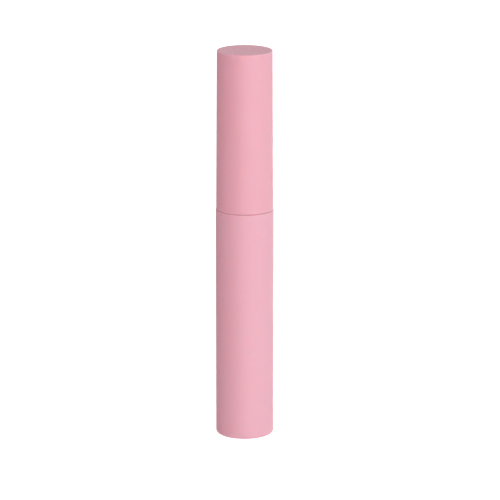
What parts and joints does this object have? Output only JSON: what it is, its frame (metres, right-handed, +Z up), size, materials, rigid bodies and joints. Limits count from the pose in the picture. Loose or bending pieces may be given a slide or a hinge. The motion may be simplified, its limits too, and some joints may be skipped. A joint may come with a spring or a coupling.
{
  "type": "mascara tube",
  "caption": "Round matte pink mascara tube with a screw cap, an inner vial with a wiper, and a twisted-wire brush on a wand, empty for filling.",
  "frame": {"origin": "centre of the tube's base, on the plane it stands on", "axes": "+Z up along the tube's own axis, from the base to the top of the cap; +X and +Y are free, because the outside is round"},
  "size_m": [0.0154, 0.0154, 0.105],
  "materials": {
    "pink_shell": "soft-touch matte",
    "vial": "translucent moulded",
    "inner_cap": "moulded satin",
    "wiper": "soft translucent",
    "seal_ring": "matte foam",
    "rod": "gloss",
    "wire": "drawn wire",
    "bristles": "nylon fibre"
  },
  "bodies": {
    "bottle": {"body_shell": "pink_shell", "vial": "vial"},
    "wiper": {"wiper": "wiper"},
    "seal": {"seal_ring": "seal_ring"},
    "cap": {"cap_shell": "pink_shell", "inner_cap": "inner_cap", "wand_rod": "rod", "brush_wire": "wire", "bristles": "bristles"}
  },
  "joints": [
    {"name": "cap_unscrew", "type": "hinge", "parent": "bottle", "child": "wiper", "pos_m": [0, 0, 0.062], "axis": [0, 0, 1], "range_deg": [0, 540]},
    {"name": "wand_draw", "type": "slide", "parent": "wiper", "child": "seal", "axis": [0, 0, 1], "range_m": [0, 0.075], "deforming": ["bristles"]},
    {"name": "thread_rise", "type": "slide", "parent": "seal", "child": "cap", "axis": [0, 0, 1], "range_m": [0, 0.0045]}
  ],
  "couplings": [
    {"joint": "cap_unscrew", "follows": "thread_rise", "rad_per_m": 2094.4}
  ]
}
